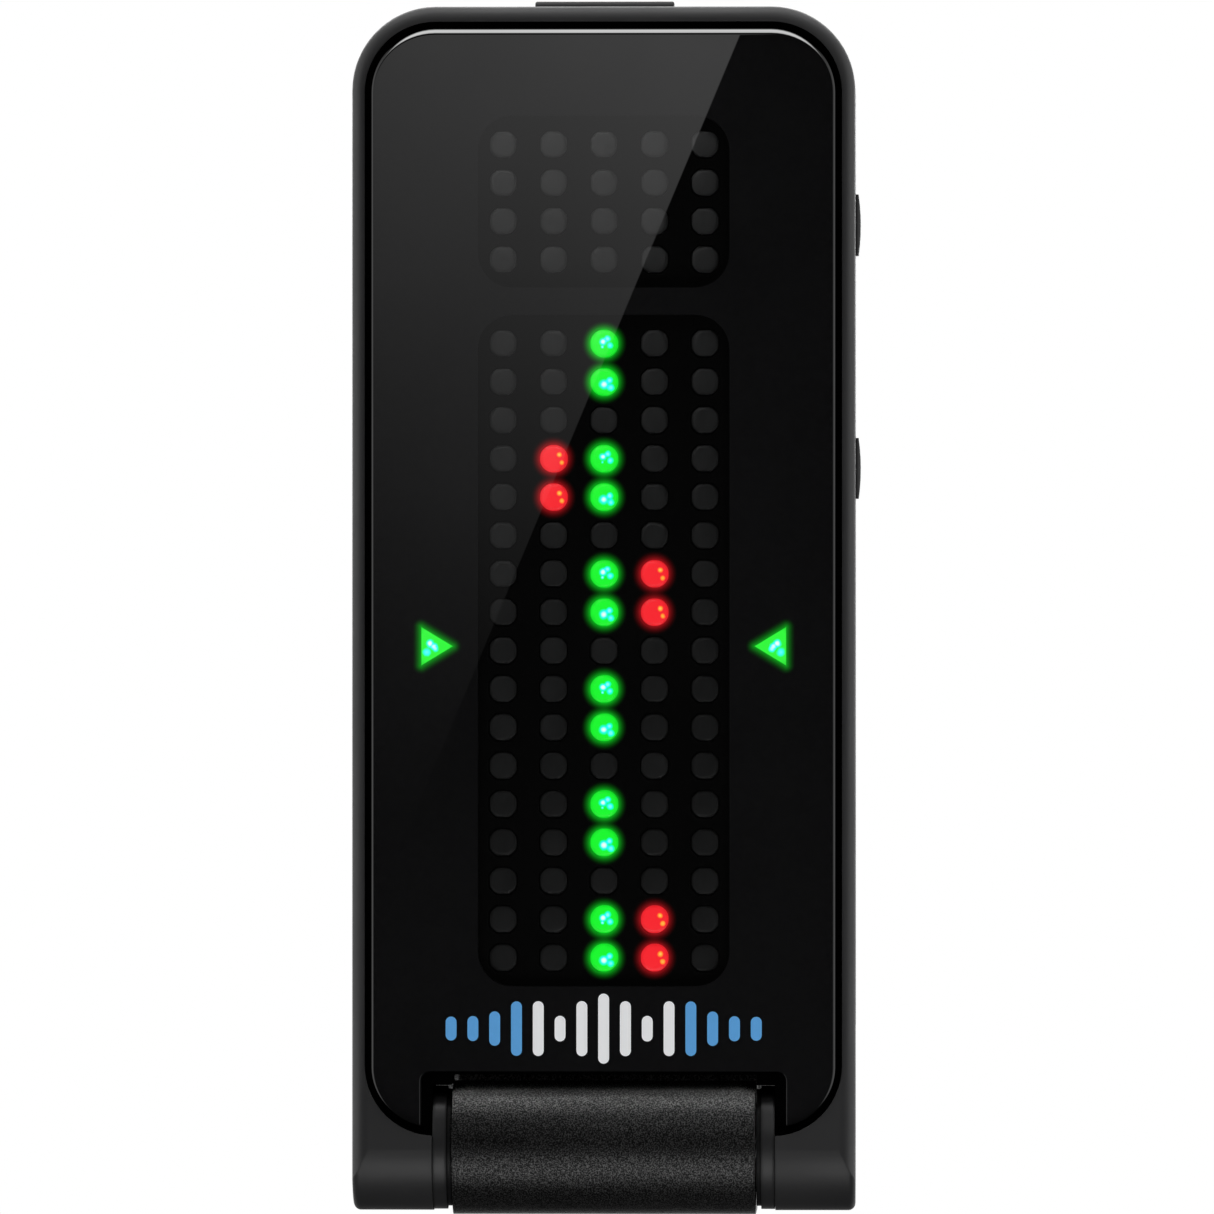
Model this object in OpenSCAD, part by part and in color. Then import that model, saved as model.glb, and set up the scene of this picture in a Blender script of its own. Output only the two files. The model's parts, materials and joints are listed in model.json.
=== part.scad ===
// Clip-on instrument tuner: a display head on a friction hinge, carried by a sprung clip.
// Lengths are in millimetres. X runs across the face, Y runs from the face to the clip and Z is up.
// Shapes are drawn from the hinge axis.
// They are then moved so that the origin is the centre of the fixed jaw's pad face.

/* [Display head] */
// Width of the head
head_w = 24; // [24:0.25:25]
// Height of the head above the hinge axis
head_h = 54.5; // [54.5:0.25:56]
// Radius of the two top corners
corner_r = 4; // [3.8:0.1:4.4]
// Depth of the front housing, from its rim back to the seam
housing_d = 5.6; // [5.6:0.05:5.8]
// Depth of the rear cover, from the seam to the back
cover_d = 2.8; // [2.8:0.05:3]
// Thickness of the shells' side walls
wall = 1.2; // [1.1:0.05:1.25]
// Thickness of the face glass
glass_t = 1.1; // [1:0.05:1.2]

/* [Display dots] */
// Distance between columns of dots
dot_pitch_x = 2.41; // [2.3:0.01:2.45]
// Distance between rows of dots
dot_pitch_z = 1.834; // [1.8:0.002:1.85]
// Width of one dot
dot_w = 1.28; // [1.1:0.02:1.4]
// Rows in the upper block
upper_rows = 4; // [2:1:4]
// Rows in the lower block
lower_rows = 17; // [15:1:17]

/* [Buttons] */
// Length of the power button, on the top
power_len = 6.65; // [5:0.05:7]
// Length of each side button
side_len = 2.9; // [2.4:0.1:3.2]
// How far the power button stands out
power_proud = 0.36; // [0.3:0.02:0.5]
// How far each side button stands out
side_proud = 0.25; // [0.2:0.01:0.3]

/* [Hinge] */
// Radius of the clip's hinge barrel
barrel_r = 3.2; // [3.1:0.05:3.3]
// Length of the hinge barrel
barrel_len = 14.46; // [14:0.02:14.5]
// Radius of the hinge pin
pin_r = 1; // [0.9:0.05:1.1]

/* [Clip] */
// Width of both arms
arm_w = 19; // [18:0.5:20]
// Height of the arms' tips above the hinge axis
arm_h = 43.5; // [42.5:0.25:44]
// Thickness of each arm
arm_t = 2.6; // [2.4:0.1:2.8]
// Height of the jaw pivot above the hinge axis
pivot_z = 14; // [13.5:0.25:14.5]
// Outward tilt of the moving jaw, which makes the pads parallel part-way open
jaw_tilt = 7; // [6:0.5:8]

/* [Jaw spring] */
// Wire diameter
wire_d = 0.9; // [0.7:0.05:1]
// Mean radius of the coil
coil_r = 2.3; // [2.1:0.05:2.4]
// Whole turns of the coil
coil_turns = 5; // [3:1:6]

/* [Hidden] */
$fn = 48;
cut = 1;          // how far a cutting shape runs past the surface it cuts
gap = 0.05;       // running clearance
fit_gap = 0.02;   // clearance between pieces that stay put
slice = 0.01;     // thickness of the slices that a hull joins

// Depths through the head, front to back
half_w = head_w / 2;
ear_r = 3;
rim_y = -ear_r;
seam_y = rim_y + housing_d;
rear_y = seam_y + cover_d;
glass_y = rim_y - 0.3;
glass_back_y = glass_y + glass_t;
tray_y = glass_back_y + 0.1;
mask_y = tray_y + 0.6;
mask_t = 0.85;
dot_recess = 0.15; // from the mask's front to the dots' front
diffuser_y = mask_y + mask_t;
diffuser_t = 0.15;
chip_t = 0.35;
board_y = diffuser_y + diffuser_t + chip_t;
board_t = 0.6;
board_back_y = board_y + board_t;

// Face layout, as heights above the hinge axis
front_fillet = 0.8;
ear_fillet = 0.35;
rear_fillet = 1.2;
rim_w = 0.93;
groove = 0.3;
glass_half = half_w - rim_w;
glass_top = head_h - 1.05;
glass_low = 0.95;
glass_r = corner_r - rim_w;
glass_chamfer = 0.25;
adhesive_inset = 0.2;
adhesive_w = 0.9;
notch_half = 8.67;
notch_z = 3.69;
notch_r = 0.4;
notch_lip = 0.14; // how far the glass stands over the housing's own notch
upper_dot_z = 47.95;
lower_dot_z = 38.45;
columns = 5;
dot_corner = 1.06;
window_half = 6;
window_margin = 1.35;
window_r = 1.65;
arrow_base_x = 8.7;
arrow_tip_x = 7.05;
arrow_half = 0.95;
arrow_chip_x = 8.1;
arrow_gap = 0.15;
arrow_lift = 0.15; // above the middle row
arrow_z = lower_dot_z - (lower_rows - 1) / 2 * dot_pitch_z + arrow_lift;

// Inside of the head
cavity_half = half_w - wall;
cavity_low = 4.7;
cavity_top = head_h - wall;
cavity_r = corner_r - wall;
cavity_low_r = 1.5;
cover_low = 4.2;
cover_low_r = 1.6;
cover_t = 1;
cover_cavity_r = 1;
mask_half = cavity_half - 0.6;
sheet_half = 9.4;
board_half = 9.9;
board_low = 7.6;
board_top = 49.9;
board_tab_half = 7.8;
board_tab_h = 1.7;
screw_x = 9.6;
screw_z = [6.2, 51.3];
screw_r = 0.6;
screw_gap = 0.1;
screw_head_r = 1.15;
screw_head_t = 0.85;
screw_head_y = rear_y - 1.15;
screw_slot_half = 0.7;
screw_slot_w = 0.32;
screw_hole_y = mask_y + 0.4;
boss_r = 1.3;
cover_boss_r = 1.5;

// Buttons and their switches
button_y = 1;
button_d = 2.1;
slot_gap = 0.06;
button_edge_r = 0.35;
button_corner_r = 0.12;
side_crown = 0.1;
flange_t = 0.5;
flange_d = 3;
flange_lap = 0.6;
switch_drop = flange_t + gap + 0.35; // from the inside of the wall to the top of a switch
mode_z = 44.15;
display_z = 32.5;
switch_w = 4.5;
switch_d = 1.6;
switch_h = 2.5;
plunger_w = 1.6;
plunger_d = 0.7;
plunger_h = 1.1;

// Coin cell bay, on an axis along Y
cell_z = 18.5;
cell_r = 10;
cell_h = 3.2;
bay_r = cell_r + 0.2;
bay_wall_r = cavity_half - gap;
bay_floor_y = board_back_y + 0.2;
bay_ledge_y = bay_floor_y + 0.5;
cell_y = bay_floor_y + 0.55;
cell_foot_r = 8.6;
cell_foot_t = 0.5;
contact_half = 1.4;
contact_slot_half = 4.8;
tail_half = 1;
leaf_t = 0.15;
door_r = 10.25;
door_t = 0.85;
door_y = rear_y - door_t - gap;
door_gap = 0.1;
door_slot = [4.5, 0.9, 0.35]; // half length, half width and depth of the coin slot
lug_lap = 0.5;
lug_r = 10.9;
lug_t = 0.4;
lug_arc = 24;
notch_arc = 27;
lug_angles = [90, 210, 330];
unlock_turn = 35;

// Hinge
ear_in = 8.17;
ear_rise = 2.6;
washer_in = 7.5;
washer_r = 2.95;
washer_room = 0.1; // clearance over the washers, which the housing covers from the front
spacer_r = 2.8;
washer_bore_r = pin_r + 0.03;
bush_r = 1.9;
bush_len = 4.6;
pin_half = 10.6;
plug_r = 1.5;
plug_t = 1;

// Clip, with depths from the hinge axis
arm_y = rear_y + 0.6;
arm_back_y = arm_y + arm_t;
pad_t = 2.5;
pad_face_y = arm_back_y + pad_t;
pad_half_w = 8;
pad_low = 27;
pad_high = 42.5;
pad_mid_z = (pad_low + pad_high) / 2;
pad_r = 2;
pad_chamfer = 0.4;
plug_inset = 2;       // from the edge of a pad to the edge of the plug on its back
plug_corner_r = 1;
plug_depth = 0.6;
groove_half = 0.3;
groove_depth = 0.45;
tip_r = 3;
arm_foot_z = 5.5;
arm_foot_r = 2.2;
neck_top = 12;
heel_r = 3;
heel_top = 1.4;
pivot_y = 12.8;
jaw_pin_r = 1.25;
lug_end_r = 3;
fixed_lug = [6.1, 8];
moving_lug = [4, 5.9];
jaw_gap = 1.6;
moving_pad_t = 2.4;
moving_tip_z = arm_h - 0.3;
moving_tip_y = pad_face_y + jaw_gap + moving_pad_t + arm_t / 2;
moving_pad_low = -16.5;
moving_pad_high = -1;
jaw_len = 17.5;
jaw_bend_r = 18;
upright_len = 12;
upright_y = moving_tip_y + jaw_len * sin(jaw_tilt) + jaw_bend_r * (1 - cos(jaw_tilt));
flare_bend_r = 26;
handle_flare = 13;
handle_len = 9;
rib_count = 5;
rib_r = 0.35;
rib_half = 5.5;
rib_pitch = 1.5;
rib_start = 2.2;
toe_gap = 0.02;
pin_head_t = 0.65;
pin_head_r = 2;
retainer_r = 2.1;
pin_end_x = fixed_lug[1] + pin_head_t;

// Jaw spring
leg_len = 9.5;
leg_gap = 0.04;
coil_pitch = wire_d + 0.12;
coil_x = coil_turns * coil_pitch / 2 + coil_pitch / 4;
coil_steps = 24 * coil_turns;
wire_sides = 10;

// ---------- placing and drawing ----------

// Moves a shape drawn from the hinge axis into the part's frame
module placed() {
    translate([0, -pad_face_y, -pad_mid_z]) children();
}

// Extrudes an outline drawn in X and Z, from depth y0 to depth y1
module slab(y0, y1) {
    translate([0, y1, 0]) rotate([90, 0, 0]) linear_extrude(y1 - y0) children();
}

// Extrudes a side profile drawn in Y and Z, from x0 to x1
module across(x0, x1) {
    translate([x0, 0, 0]) rotate([90, 0, 90]) linear_extrude(x1 - x0) children();
}

// Cylinders along X and along Y
module x_rod(r, x0, x1) {
    translate([x0, 0, 0]) rotate([0, 90, 0]) cylinder(r = r, h = x1 - x0);
}

module y_rod(r, y0, y1) {
    translate([0, y1, 0]) rotate([90, 0, 0]) cylinder(r = r, h = y1 - y0);
}

// A box given by its two corners
module block(low, high) {
    translate(low) cube(high - low);
}

// Places children on the left and on the right
module both_sides() {
    for (m = [0, 1]) mirror([m, 0, 0]) children();
}

// What is left of a square corner outside its arc
module corner_waste(r) {
    difference() {
        translate([-cut, -cut]) square(r + cut);
        translate([r, r]) circle(r);
    }
}

// An upright panel outline, centred on X, with its own radii at the bottom and the top
module panel(half, z0, z1, r_low, r_top) {
    difference() {
        translate([-half, z0]) square([2 * half, z1 - z0]);
        for (m = [0, 1]) mirror([m, 0]) {
            if (r_low > 0) translate([half, z0]) rotate(90) corner_waste(r_low);
            if (r_top > 0) translate([half, z1]) rotate(180) corner_waste(r_top);
        }
    }
}

// A ring sector in X and Z round the origin, from angle a0 to a1, for angles under 180 apart
module sector(r0, r1, a0, a1) {
    reach = 2 * r1;
    mid = (a0 + a1) / 2;
    intersection() {
        difference() {
            circle(r1);
            circle(r0);
        }
        polygon([
            [0, 0],
            reach * [cos(a0), sin(a0)],
            reach * [cos(mid), sin(mid)],
            reach * [cos(a1), sin(a1)]
        ]);
    }
}

// ---------- display face ----------

// Centres of every dot, as [x, z]
function dot_rows() = concat(
    [for (j = [0:upper_rows - 1]) upper_dot_z - j * dot_pitch_z],
    [for (j = [0:lower_rows - 1]) lower_dot_z - j * dot_pitch_z]
);
function dot_centres() = [
    for (z = dot_rows(), i = [0:columns - 1]) [(i - (columns - 1) / 2) * dot_pitch_x, z]
];

// A square dot with its corners cut off
module dot_shape(w) {
    intersection() {
        square(w, center = true);
        rotate(45) square(w * dot_corner, center = true);
    }
}

module all_dots(w) {
    for (c = dot_centres()) translate(c) dot_shape(w);
}

// The two pointers at mid height, grown by a margin
module arrows(margin) {
    for (m = [0, 1]) mirror([m, 0]) polygon([
        [arrow_base_x + margin, arrow_z - arrow_half - 1.5 * margin],
        [arrow_base_x + margin, arrow_z + arrow_half + 1.5 * margin],
        [arrow_tip_x - 2 * margin, arrow_z]
    ]);
}

module windows() {
    panel(window_half, upper_dot_z - (upper_rows - 1) * dot_pitch_z - window_margin,
          upper_dot_z + window_margin, window_r, window_r);
    panel(window_half, lower_dot_z - (lower_rows - 1) * dot_pitch_z - window_margin,
          lower_dot_z + window_margin, window_r, window_r);
}

// Outline of the glass without its hinge notch
module glass_panel(inset) {
    panel(glass_half - inset, glass_low + inset, glass_top - inset, glass_r - inset, glass_r - inset);
}

module hinge_notch(grow) {
    panel(notch_half + grow, -ear_r - cut, notch_z + grow, 0, notch_r);
}

module face_glass() {
    color([0.02, 0.02, 0.022]) difference() {
        hull() {
            slab(glass_y + glass_chamfer, glass_back_y) glass_panel(0);
            slab(glass_y, glass_y + slice) glass_panel(glass_chamfer);
        }
        slab(glass_y - cut, glass_back_y + cut) hinge_notch(0);
    }
}

module glass_adhesive() {
    color([0.1, 0.1, 0.1]) slab(glass_back_y, tray_y) difference() {
        glass_panel(adhesive_inset);
        glass_panel(adhesive_inset + adhesive_w);
        hinge_notch(adhesive_inset);
    }
}

// ---------- shells ----------

// The rounded end of a soft slab, below z = 0
module soft_end(half, r, d, fillet) {
    across(r - half, half - r) difference() {
        translate([0, -r]) square([d, r]);
        rotate(-90) corner_waste(fillet);
    }
    both_sides() translate([half - r, 0, -r]) rotate([-90, 0, 0]) rotate_extrude() difference() {
        square([r, d]);
        translate([r, 0]) rotate(90) corner_waste(fillet);
    }
}

// An upright slab of depth d behind y = 0, with rounded corners and a fillet round its front edge
module soft_slab(half, z0, z1, r_low, r_top, d, fillet) {
    translate([0, 0, z0 + r_low]) linear_extrude(z1 - z0 - r_low - r_top) panel(half, 0, d, fillet, 0);
    translate([0, 0, z1]) soft_end(half, r_top, d, fillet);
    if (r_low > 0) translate([0, 0, z0]) mirror([0, 0, 1]) soft_end(half, r_low, d, fillet);
}

// One ear's knuckle, turned about the hinge axis, with its outer edge rounded
module knuckle() {
    rotate([0, 90, 0]) rotate_extrude() difference() {
        translate([0, ear_in]) square([ear_r, half_w - ear_in]);
        translate([ear_r, half_w]) rotate(180) corner_waste(ear_fillet);
    }
}

// An ear: two knuckles and the block between them, with the housing's fillet down its upright edges
module ear() {
    intersection() {
        union() {
            knuckle();
            translate([0, 0, ear_rise]) knuckle();
            block([ear_in, -ear_r, 0], [half_w, ear_r, ear_rise]);
        }
        translate([0, 0, -ear_r - cut]) linear_extrude(2 * ear_r + ear_rise + 2 * cut)
            panel(half_w, -ear_r, ear_r, front_fillet, front_fillet);
    }
}

module housing_body() {
    translate([0, rim_y, 0]) soft_slab(half_w, 0, head_h, 0, corner_r, housing_d, front_fillet);
    both_sides() ear();
}

module screw_places() {
    for (x = [-screw_x, screw_x], z = screw_z) translate([x, 0, z]) children();
}

// Room for the barrel or the washers between the ears: high is how far it reaches above the hinge axis
module hinge_opening(half, high) {
    block([-half, rim_y - cut, -ear_r - cut], [half, ear_r + cut, high]);
}

module front_housing() {
    color([0.13, 0.13, 0.135]) difference() {
        union() {
            difference() {
                housing_body();
                slab(mask_y, seam_y + cut)
                    panel(cavity_half, cavity_low, cavity_top, cavity_low_r, cavity_r);
            }
            screw_places() y_rod(boss_r, mask_y - slice, seam_y - fit_gap);
        }
        slab(rim_y - cut, tray_y) glass_panel(-groove);
        slab(tray_y - cut, mask_y + slice) windows();
        slab(tray_y - cut, mask_y + slice) arrows(arrow_gap);
        hinge_opening(barrel_len / 2 + gap, notch_z - notch_lip);
        hinge_opening(ear_in, washer_r + washer_room);
        screw_places() y_rod(screw_r, screw_hole_y, seam_y + cut);
        x_rod(pin_r, -pin_half - gap, pin_half + gap);
        x_rod(plug_r, -half_w - cut, -half_w + plug_t);
        button_slot(power_len, cavity_top);
        for (z = [mode_z, display_z]) side_button_place(z) button_slot(side_len, cavity_half);
    }
}

module cover_shell() {
    translate([0, rear_y, 0]) mirror([0, 1, 0])
        soft_slab(half_w, cover_low, head_h, cover_low_r, corner_r, cover_d, rear_fillet);
}

module rear_cover() {
    color([0.12, 0.12, 0.125]) difference() {
        union() {
            difference() {
                cover_shell();
                slab(seam_y - cut, rear_y - cover_t)
                    panel(cavity_half, cover_low + wall, cavity_top, cover_cavity_r, cavity_r);
            }
            screw_places() y_rod(cover_boss_r, seam_y + fit_gap, rear_y - cover_t + slice);
            translate([0, 0, cell_z]) y_rod(bay_wall_r, bay_floor_y, rear_y - cover_t + slice);
        }
        screw_places() {
            y_rod(screw_r + screw_gap, seam_y - cut, rear_y + cut);
            y_rod(screw_head_r + screw_gap, screw_head_y, rear_y + cut);
        }
        translate([0, 0, cell_z]) bay_cuts();
    }
}

// The outline of one bayonet lug, or of the notch that it passes through, centred on angle a
module lug_sector(a, arc, r) {
    sector(door_r - lug_lap, r, a - arc / 2, a + arc / 2);
}

// What is cut out of the cover for the cell, the door, the bayonet track and the contacts
module bay_cuts() {
    track_y = door_y - gap;
    slot_half = contact_half + 0.3;
    tail_slot_half = tail_half + 0.2;
    y_rod(bay_r, bay_ledge_y, track_y + slice);
    y_rod(lug_r + door_gap, track_y, door_y + lug_t + gap);
    y_rod(door_r + door_gap, track_y, rear_y + cut);
    slab(door_y + lug_t, rear_y + cut)
        for (a = lug_angles) lug_sector(a - unlock_turn, notch_arc, lug_r + door_gap);
    block([-slot_half, bay_floor_y - cut, -contact_slot_half],
          [slot_half, bay_floor_y + cut, contact_slot_half]);
    block([-tail_slot_half, bay_floor_y - cut, cell_r - 0.1],
          [tail_slot_half, bay_floor_y + cut, bay_r + 0.05]);
}

module cover_screws() {
    color([0.3, 0.3, 0.32]) screw_places() difference() {
        union() {
            y_rod(screw_r, screw_hole_y + 0.1, screw_head_y + slice);
            y_rod(screw_head_r, screw_head_y, screw_head_y + screw_head_t);
        }
        for (turn = [0, 90]) rotate([0, turn, 0])
            block([-screw_slot_half, screw_head_y + screw_head_t / 2, -screw_slot_w / 2],
                  [screw_slot_half, screw_head_y + cut, screw_slot_w / 2]);
    }
}

// ---------- display stack and board ----------

module dot_mask() {
    color([0.03, 0.03, 0.03]) slab(mask_y, diffuser_y) difference() {
        panel(mask_half, board_low + 0.1, board_top - 0.1, 0.5, 0.5);
        all_dots(dot_w + 2 * gap);
        arrows(gap + 0.01);
    }
}

module dot_diffuser() {
    color([0.75, 0.75, 0.75]) {
        slab(diffuser_y, diffuser_y + diffuser_t) panel(sheet_half, board_low + 0.5, board_top - 0.5, 0, 0);
        slab(mask_y + dot_recess, diffuser_y + slice) {
            all_dots(dot_w);
            arrows(0);
        }
    }
}

module led_chips() {
    chip = [1, chip_t, 0.5];
    color([0.85, 0.85, 0.8])
        for (c = concat(dot_centres(), [for (side = [-1, 1]) [side * arrow_chip_x, arrow_z]]))
            translate([c[0] - chip[0] / 2, board_y - chip_t, c[1] - chip[2] / 2]) cube(chip);
}

module main_board() {
    color([0.05, 0.25, 0.12]) {
        slab(board_y, board_back_y) {
            panel(board_half, board_low, board_top, 0, 0);
            panel(board_tab_half, board_top - cut, board_top + board_tab_h, 0, 0);
        }
    }
}

// One soldered package on the back of the board: centre, width, height, thickness
module package(x, z, w, h, t) {
    block([x - w / 2, board_back_y, z - h / 2], [x + w / 2, board_back_y + t, z + h / 2]);
}

module board_chips() {
    color([0.08, 0.08, 0.08]) {
        package(-4.4, 44.6, 7, 7, 0.9);
        package(3.2, 46.4, 3.2, 2.5, 0.7);
        package(3.4, 41, 4, 4, 0.8);
        package(3.2, 36, 2.9, 1.6, 0.9);
        for (i = [0:4]) package(1.4 + 1.3 * i, 32.2, 0.6, 1.1, 0.4);
        for (i = [0:3]) package(-7.4 + 1.6 * i, 49, 1, 0.5, 0.4);
    }
}

// A brass disc with a thinner ceramic disc bonded to it
module vibration_sensor() {
    ceramic_y = board_back_y + 0.25;
    translate([-4.4, 0, 35]) {
        color([0.8, 0.65, 0.3]) y_rod(4.4, board_back_y, ceramic_y);
        color([0.9, 0.9, 0.85]) y_rod(3.1, ceramic_y, ceramic_y + 0.2);
    }
}

// ---------- buttons: drawn along +Z at the top wall, and turned for the side wall ----------

module side_button_place(z) {
    translate([0, 0, z]) rotate([0, 90, 0]) children();
}

module button_slot(length, wall_in) {
    half = length / 2 + slot_gap;
    depth = button_d / 2 + slot_gap;
    block([-half, button_y - depth, wall_in - cut], [half, button_y + depth, wall_in + wall + cut]);
}

// A cap's outline along its length: rounded corners, and a top that falls by crown towards both ends
module crowned(half, z0, z1, crown) {
    intersection() {
        panel(half, z0, z1, 0, button_corner_r);
        if (crown > 0) {
            r = (half * half + crown * crown) / (2 * crown);
            translate([0, z1 - r]) circle(r, $fn = 240);
        } else {
            translate([-half, z0]) square([2 * half, z1 - z0]);
        }
    }
}

// A cap with rounded long edges, on a flange that keeps it behind the wall
module button_cap(length, wall_in, proud, crown) {
    half = length / 2;
    under = wall_in - gap;
    top = wall_in + wall + proud;
    intersection() {
        slab(button_y - button_d / 2, button_y + button_d / 2) crowned(half, under - slice, top, crown);
        across(-half - cut, half + cut) translate([button_y, 0])
            panel(button_d / 2, under - cut, top, 0, button_edge_r);
    }
    block([-half - flange_lap, button_y - flange_d / 2, under - flange_t],
          [half + flange_lap, button_y + flange_d / 2, under]);
}

module switch_plunger(wall_in) {
    top = wall_in - gap - flange_t;
    y = board_back_y + switch_d / 2;
    block([-plunger_w / 2, y - plunger_d / 2, top - plunger_h], [plunger_w / 2, y + plunger_d / 2, top]);
}

module tact_switch(wall_in) {
    top = wall_in - switch_drop;
    y = board_back_y + switch_d / 2;
    difference() {
        block([-switch_w / 2, board_back_y, top - switch_h], [switch_w / 2, board_back_y + switch_d, top]);
        block([-plunger_w / 2 - gap, y - plunger_d / 2 - gap, top - 1.2],
              [plunger_w / 2 + gap, y + plunger_d / 2 + gap, top + cut]);
    }
}

module tact_switches() {
    color([0.75, 0.75, 0.78]) {
        tact_switch(cavity_top);
        for (z = [mode_z, display_z]) side_button_place(z) tact_switch(cavity_half);
    }
}

module power_button() {
    color([0.15, 0.15, 0.155]) button_cap(power_len, cavity_top, power_proud, 0);
}

module mode_button() {
    color([0.15, 0.15, 0.155]) side_button_place(mode_z)
        button_cap(side_len, cavity_half, side_proud, side_crown);
}

module display_button() {
    color([0.15, 0.15, 0.155]) side_button_place(display_z)
        button_cap(side_len, cavity_half, side_proud, side_crown);
}

module power_plunger() {
    color([0.1, 0.1, 0.1]) switch_plunger(cavity_top);
}

module mode_plunger() {
    color([0.1, 0.1, 0.1]) side_button_place(mode_z) switch_plunger(cavity_half);
}

module display_plunger() {
    color([0.1, 0.1, 0.1]) side_button_place(display_z) switch_plunger(cavity_half);
}

// ---------- battery ----------

module coin_cell() {
    color([0.78, 0.78, 0.8]) translate([0, 0, cell_z]) {
        y_rod(cell_foot_r, cell_y, cell_y + cell_foot_t);
        y_rod(cell_r, cell_y + cell_foot_t - slice, cell_y + cell_h);
    }
}

// A leaf that rises from the board, through the bay's floor, to the cell
module cell_contact_minus() {
    color([0.85, 0.8, 0.6]) translate([0, 0, cell_z]) across(-contact_half, contact_half) polygon([
        [board_back_y, -4.5], [board_back_y + leaf_t, -4.5], [board_back_y + leaf_t, -1], [cell_y, 2.6],
        [cell_y, 3.6], [cell_y - leaf_t, 3.6], [cell_y - leaf_t, 2.6], [board_back_y, -0.8]
    ]);
}

// A curved strip against the rim of the cell, with a tail down to the board
module cell_contact_plus() {
    color([0.85, 0.8, 0.6]) translate([0, 0, cell_z]) {
        slab(cell_y + 0.6, cell_y + 2.8) sector(cell_r + fit_gap, bay_r - fit_gap, 72, 108);
        block([-tail_half, board_back_y, cell_r + 0.03], [tail_half, cell_y + 0.7, bay_r - 0.04]);
    }
}

module battery_door() {
    back_y = door_y + door_t;
    color([0.13, 0.13, 0.135]) translate([0, 0, cell_z]) difference() {
        union() {
            y_rod(door_r, door_y, back_y);
            slab(door_y, door_y + lug_t) for (a = lug_angles) lug_sector(a, lug_arc, lug_r);
        }
        block([-door_slot[0], back_y - door_slot[2], -door_slot[1]],
              [door_slot[0], back_y + cut, door_slot[1]]);
    }
}

// ---------- hinge ----------

module hinge_pin() {
    color([0.7, 0.7, 0.72]) x_rod(pin_r, -pin_half, pin_half);
}

// Each washer has a thin spacer step that meets the barrel
module hinge_washers() {
    color([0.1, 0.1, 0.1]) both_sides() difference() {
        union() {
            x_rod(washer_r, washer_in, ear_in - fit_gap);
            x_rod(spacer_r, barrel_len / 2 + gap, washer_in + slice);
        }
        x_rod(washer_bore_r, barrel_len / 2 - cut, ear_in + cut);
    }
}

module hinge_pin_plug() {
    color([0.13, 0.13, 0.135]) x_rod(plug_r, -half_w, -half_w + plug_t);
}

module friction_bushes() {
    color([0.85, 0.83, 0.75]) both_sides() difference() {
        x_rod(bush_r, barrel_len / 2 - bush_len, barrel_len / 2);
        x_rod(washer_bore_r, barrel_len / 2 - bush_len - cut, barrel_len / 2 + cut);
    }
}

// ---------- clip ----------

// Back-view outline of an arm: full width above, necking to a narrower foot
module arm_outline(foot_half, foot_z, foot_r) {
    panel(arm_w / 2, arm_foot_z, arm_h, arm_foot_r, tip_r);
    panel(foot_half, foot_z, neck_top, foot_r, 0);
}

// Side profile of the fixed arm: barrel, neck and upright plate
module fixed_profile() {
    circle(barrel_r);
    difference() {
        translate([0, -barrel_r]) square([arm_back_y, barrel_r + heel_top]);
        translate([arm_back_y, -barrel_r]) rotate(90) corner_waste(heel_r);
    }
    translate([arm_y, 0]) square([arm_t, arm_h]);
}

module pivot_lug(x0, x1, root_y) {
    translate([0, pivot_y, pivot_z]) {
        x_rod(lug_end_r, x0, x1);
        across(x0, x1) polygon([
            [0, -lug_end_r], [0, lug_end_r],
            [root_y - pivot_y, lug_end_r + 1], [root_y - pivot_y, -lug_end_r - 1]
        ]);
    }
}

module fixed_arm() {
    color([0.09, 0.09, 0.09]) difference() {
        union() {
            intersection() {
                across(-arm_w / 2, arm_w / 2) fixed_profile();
                slab(-barrel_r - cut, arm_back_y + cut) arm_outline(barrel_len / 2, -barrel_r, 0);
            }
            both_sides() pivot_lug(fixed_lug[0], fixed_lug[1], arm_back_y - 0.2);
        }
        x_rod(bush_r, -barrel_len / 2 - cut, barrel_len / 2 + cut);
        translate([0, pivot_y, pivot_z]) x_rod(jaw_pin_r, -arm_w, arm_w);
        slab(arm_back_y - plug_depth, arm_back_y + cut) plug_outline(pad_low, pad_high);
    }
}

// Outline of a pad, and of the plug on its back that sits in the arm
module pad_outline(z0, z1, inset) {
    panel(pad_half_w - inset, z0 + inset, z1 - inset, pad_r - inset, pad_r - inset);
}

module plug_outline(z0, z1) {
    panel(pad_half_w - plug_inset, z0 + plug_inset, z1 - plug_inset, plug_corner_r, plug_corner_r);
}

// A rubber pad: plug, body with a chamfered edge and grooves across its face
module pad(y_back, y_face, z0, z1) {
    difference() {
        union() {
            hull() {
                slab(y_back, y_face - pad_chamfer) pad_outline(z0, z1, 0);
                slab(y_face - slice, y_face) pad_outline(z0, z1, pad_chamfer);
            }
            slab(y_back - plug_depth, y_back + slice) plug_outline(z0, z1);
        }
        for (offset = [-5.6, -3.2, 3.2, 5.6])
            translate([0, 0, (z0 + z1) / 2 + offset])
                block([-pad_half_w - cut, y_face - groove_depth, -groove_half],
                      [pad_half_w + cut, y_face + cut, groove_half]);
    }
}

module fixed_pad() {
    color([0.05, 0.05, 0.05]) pad(arm_back_y, pad_face_y, pad_low, pad_high);
}

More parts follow.
